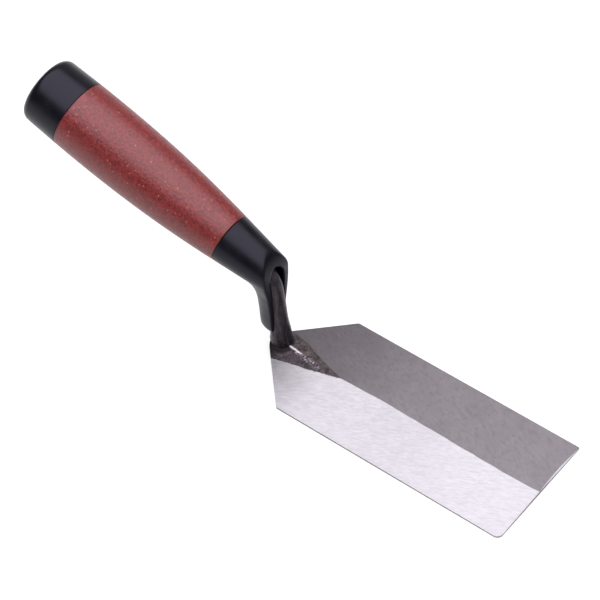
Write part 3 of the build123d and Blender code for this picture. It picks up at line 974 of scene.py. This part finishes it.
def build_core():
    h = 0.34
    x0, x1, y1, z0, z1 = -82.0, -54.6, 11.2, 8.6, 60.5
    xs = np.arange(x0, x1, h)
    ys = np.arange(-y1, y1 + h, h)
    zs = np.arange(z0, z1, h)
    # the front face and the tongue's end stay off the lattice planes
    X, Y, Z = np.meshgrid(xs + 0.013, ys + 0.007, zs + 0.011, indexing="ij")

    def clipped(x, y, z):
        u = (x - BUTT_X) * AX + (z - BUTT_Z) * AZ
        return np.maximum(hood_d(x, y, z), 91.0 - u)

    F = clipped(X, Y, Z)
    V, Q = surface_nets(F, (xs[0] + 0.013, ys[0] + 0.007, zs[0] + 0.011), h)
    for _ in range(4):
        d = hood_d(V[:, 0], V[:, 1], V[:, 2])
        g = np.stack(grad(hood_d, V[:, 0], V[:, 1], V[:, 2], 0.06), 1)
        g2 = (g * g).sum(1)
        u = (V[:, 0] - BUTT_X) * AX + (V[:, 2] - BUTT_Z) * AZ
        step = (np.clip(d, -0.2, 0.2) / np.maximum(g2, 0.3))[:, None] * g
        V = V - np.where((u > 91.3)[:, None], step * 0.9, 0)
    bm = bmesh.new()
    bv = [bm.verts.new(v) for v in V]
    for q in Q:
        try:
            bm.faces.new([bv[i] for i in q])
        except ValueError:
            pass
    # clean cut square to the axis, just ahead of the grip's end
    u_cut = SEAM_NECK + SEAM_CH
    co = Vector((BUTT_X + AX * u_cut, 0, BUTT_Z + AZ * u_cut))
    no = Vector((AX, 0, AZ))
    bmesh.ops.bisect_plane(bm, geom=list(bm.verts) + list(bm.edges) + list(bm.faces), dist=1e-4, plane_co=co, plane_no=no, clear_inner=True)
    bmesh.ops.remove_doubles(bm, verts=[v for v in bm.verts if abs((v.co - co).dot(no)) < 1e-3], dist=0.03)
    loose = [v for v in bm.verts if not v.link_faces]
    bmesh.ops.delete(bm, geom=loose, context="VERTS")
    border = [e for e in bm.edges if len(e.link_faces) == 1]
    nxt = {}
    for e in border:
        lp = e.link_loops[0]
        nxt[lp.link_loop_next.vert] = lp.vert
    first = border[0].link_loops[0].link_loop_next.vert
    loop = [first]
    v = nxt[first]
    while v is not first and len(loop) < 5000:
        loop.append(v)
        v = nxt[v]
    e1 = Vector((AZ, 0, -AX))
    e2 = Vector((0, 1, 0))
    angles = []
    r0 = float(radius(u_cut))
    for v in loop:
        d = v.co - co
        a = math.atan2(d.dot(e2), d.dot(e1))
        angles.append(a)
        v.co = co + e1 * (r0 * math.cos(a)) + e2 * (r0 * math.sin(a))
    prev = loop
    sharp_loops = []
    stations = [(SEAM_NECK, float(radius(SEAM_NECK)) - SEAM_CH * 0.8), (SEAM_NECK, float(radius(SEAM_NECK)) - GRIP_WALL)]
    stations += [(u, float(radius(u)) - GRIP_WALL) for u in (88.0, 80.0, 70.0, 60.0, 50.0, 40.0, 30.0, SEAM_BUTT)]
    for u, r in stations:
        c = Vector((BUTT_X + AX * u, 0, BUTT_Z + AZ * u))
        cur = [bm.verts.new(c + e1 * (r * math.cos(a)) + e2 * (r * math.sin(a))) for a in angles]
        for i in range(len(cur)):
            j = (i + 1) % len(cur)
            bm.faces.new([prev[i], prev[j], cur[j], cur[i]])
        sharp_loops.append(cur)
        prev = cur
    bm.faces.new(prev)
    bmesh.ops.recalc_face_normals(bm, faces=list(bm.faces))
    for v in bm.verts:
        v.co = v.co * MM
    me = bpy.data.meshes.new("handle_core_visual")
    bm.to_mesh(me)
    bm.free()
    me.materials.append(mat_plastic)
    me.polygons.foreach_set("use_smooth", [True] * len(me.polygons))
    me.set_sharp_from_angle(angle=math.radians(38))
    ob = bpy.data.objects.new("neck_and_hood", me)
    bpy.context.scene.collection.objects.link(ob)
    # the hood's vertex positions, read back in mm; nothing uses them
    n = len(me.vertices)
    co = np.zeros(n * 3)
    me.vertices.foreach_get("co", co)
    co = co.reshape(-1, 3) / MM
    return ob


# ------------------------------------------------------------------ turned pieces
def lathe(name, profile, material, n=160, closed_ring=False, end_caps=True):
    """Turned about the handle's axis from (u, r) stations; u is measured from the butt end plane."""
    V, F = [], []
    e1 = np.array([AZ, 0, -AX])
    e2 = np.array([0, 1.0, 0])
    ax = np.array([AX, 0, AZ])
    base = np.array([BUTT_X, 0, BUTT_Z])
    ang = np.arange(n) * 2 * math.pi / n
    rings = []
    for u, r in profile:
        if r < 1e-6:
            rings.append([len(V)])
            V.append(base + ax * u)
        else:
            ids = list(range(len(V), len(V) + n))
            V.extend(base + ax * u + np.outer(r * np.cos(ang), e1) + np.outer(r * np.sin(ang), e2))
            rings.append(ids)
    pairs = list(zip(rings, rings[1:])) + ([(rings[-1], rings[0])] if closed_ring else [])
    for a, b in pairs:
        for i in range(n):
            j = (i + 1) % n
            if len(a) == 1:
                F.append((a[0], b[j], b[i]))
            elif len(b) == 1:
                F.append((a[i], a[j], b[0]))
            else:
                F.append((a[i], a[j], b[j], b[i]))
    ob = new_object(name, V, F, [material])
    bm = bmesh.new()
    bm.from_mesh(ob.data)
    bmesh.ops.recalc_face_normals(bm, faces=list(bm.faces))
    bm.to_mesh(ob.data)
    bm.free()
    ob.data.set_sharp_from_angle(angle=math.radians(35))
    return ob


def corner(u0, r0, du, dr, k, n=4):
    """Quarter turn of radius k around a corner, from along u to along r."""
    out = []
    for i in range(n + 1):
        a = math.pi / 2 * i / n
        out.append((u0 + du * k * (1 - math.sin(a)), r0 + dr * k * (1 - math.cos(a))))
    return out


def build_grip():
    ru = lambda u: float(radius(u))
    pts = []
    k = 0.38
    a, b = SEAM_BUTT + 0.06, SEAM_NECK - 0.06
    for i in range(5):
        t = math.pi / 2 * i / 4
        pts.append((a + k * (1 - math.sin(t)), ru(a) - k * (1 - math.cos(math.pi / 2 - t))))
    body = list(np.linspace(a + k + 0.8, b - k - 0.8, 84))
    pts += [(u, ru(u)) for u in body]
    for i in range(5):
        t = math.pi / 2 * i / 4
        pts.append((b - k + k * math.sin(t), ru(b) - k * (1 - math.cos(t))))
    pts += [(b, ru(b) - GRIP_WALL + 0.02)]
    pts += [(u, ru(u) - GRIP_WALL + 0.02) for u in (86, 78, 70, 60, 50, 40, 30, 22)]
    pts += [(a, ru(a) - GRIP_WALL + 0.02)]
    return lathe("grip_sleeve", pts, mat_grip, closed_ring=True)


def build_cap():
    ru = lambda u: float(radius(u))
    pts = [(0.0, 0.0), (0.02, 3.0), (0.06, 6.0), (0.12, 8.5)]
    r_end = ru(0)
    R = BUTT_ROUND
    for i in range(9):
        t = math.pi / 2 * i / 8
        pts.append((0.12 + (R - 0.12) * (1 - math.cos(t)), r_end - R + R * math.sin(t) + (ru(R) - r_end) * i / 8))
    pts += [(u, ru(u)) for u in (4.6, 6.4, 8.4, 10.4, 12.4, 14.4, 16.2)]
    k = SEAM_CH
    b = SEAM_BUTT - 0.02
    for i in range(5):
        t = math.pi / 2 * i / 4
        pts.append((b - k + k * math.sin(t), ru(b) - k * (1 - math.cos(t))))
    pts += [(b, 8.0), (b, 0.0)]
    return lathe("butt_cap_visual", pts, mat_cap)


forging = build_forging()
core = build_core()
grip = build_grip()
cap = build_cap()
for piece, node, slot in (
        (forging, "blade_shank_forging", "forged_steel"), (core, "handle_core", "black_plastic"),
        (grip, "soft_grip", "red_grip"), (cap, "butt_cap", "black_plastic")):
    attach(piece, "root")
    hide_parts(node)

# ------------------------------------------------------------------ stage
floor_mesh = bpy.data.meshes.new("floor")
S = 4.0
floor_mesh.from_pydata([(-S, -S, -0.0002), (S, -S, -0.0002), (S, S, -0.0002), (-S, S, -0.0002)], [], [(0, 1, 2, 3)])
floor = bpy.data.objects.new("floor", floor_mesh)
bpy.context.scene.collection.objects.link(floor)
fm = bpy.data.materials.new("floor_white")
fm.use_nodes = True
fb = fm.node_tree.nodes["Principled BSDF"]
fb.inputs["Base Color"].default_value = (0.38, 0.38, 0.38, 1)
fb.inputs["Emission Color"].default_value = (1.0, 1.0, 1.0, 1)
fb.inputs["Emission Strength"].default_value = 0.64
fb.inputs["Roughness"].default_value = 0.9
fb.inputs["Specular IOR Level"].default_value = 0.1
floor_mesh.materials.append(fm)
floor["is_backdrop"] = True

world = bpy.data.worlds.new("studio")
bpy.context.scene.world = world
world.use_nodes = True
bg = world.node_tree.nodes["Background"]
bg.inputs[0].default_value = (1.0, 0.985, 1.0, 1)
bg.inputs[1].default_value = 0.10


def softbox(name, centre, target, size_x, size_y, radiance, colour=(1, 1, 1), roll=0.0):
    light = bpy.data.lights.new(name, "AREA")
    light.shape = "RECTANGLE"
    light.size, light.size_y = size_x, size_y
    light.energy = radiance * math.pi * size_x * size_y
    light.color = colour
    ob = bpy.data.objects.new(name, light)
    bpy.context.scene.collection.objects.link(ob)
    d = Vector(target) - Vector(centre)
    q = d.to_track_quat("-Z", "Y")
    ob.matrix_world = Matrix.Translation(Vector(centre)) @ q.to_matrix().to_4x4() @ Matrix.Rotation(roll, 4, "Z")
    return ob


# one wide softbox straight overhead; its edge lies between what the two facets mirror
az = Vector((-0.66, 0.75, 0)).normalized()
H = 1.6
edge_el = math.radians(49.2)
edge_pt = az * (H / math.tan(edge_el)) + Vector((0, 0, H))
side = Vector((0, 0, 1)).cross(az)
half = 1.4
depth = 2.8
centre = edge_pt - az * (depth / 2)
top = bpy.data.lights.new("overhead_softbox", "AREA")
top.shape = "RECTANGLE"
top.size, top.size_y = 2 * half, depth
top.energy = 3.2 * math.pi * top.size * top.size_y
top.color = (1.0, 0.965, 1.035)
top_ob = bpy.data.objects.new("overhead_softbox", top)
bpy.context.scene.collection.objects.link(top_ob)
top_ob.matrix_world = Matrix((
    (side.x, az.x, 0, centre.x), (side.y, az.y, 0, centre.y), (0, 0, 1, H), (0, 0, 0, 1)))
softbox("backdrop", (-1.5, 2.6, 0.85), (0, 0, 0.85), 3.4, 1.7, 0.45)

# ------------------------------------------------------------------ camera
cam = bpy.data.cameras.new("camera")
cam.lens = 157.8
cam.sensor_width = 36
cam.clip_start = 0.05
cam_ob = bpy.data.objects.new("camera", cam)
bpy.context.scene.collection.objects.link(cam_ob)
R = [(0.78450725, 0.61838874, -0.04630049), (0.4428079, -0.6108986, -0.65629571), (-0.43413079, 0.49436652, -0.7530818)]
C = (0.376713, -0.480096, 0.764734)
cam_ob.matrix_world = Matrix((
    (R[0][0], -R[1][0], -R[2][0], C[0]), (R[0][1], -R[1][1], -R[2][1], C[1]), (R[0][2], -R[1][2], -R[2][2], C[2]), (0, 0, 0, 1)))
bpy.context.scene.camera = cam_ob
bpy.context.scene.view_settings.view_transform = "Standard"

visual_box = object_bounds()


def plain(v):
    if isinstance(v, dict):
        return {k: plain(w) for k, w in v.items()}
    if isinstance(v, (int, float, str)):
        return v
    return [plain(w) for w in v]


{"cad": plain(cad_box), "visual": plain(visual_box)}
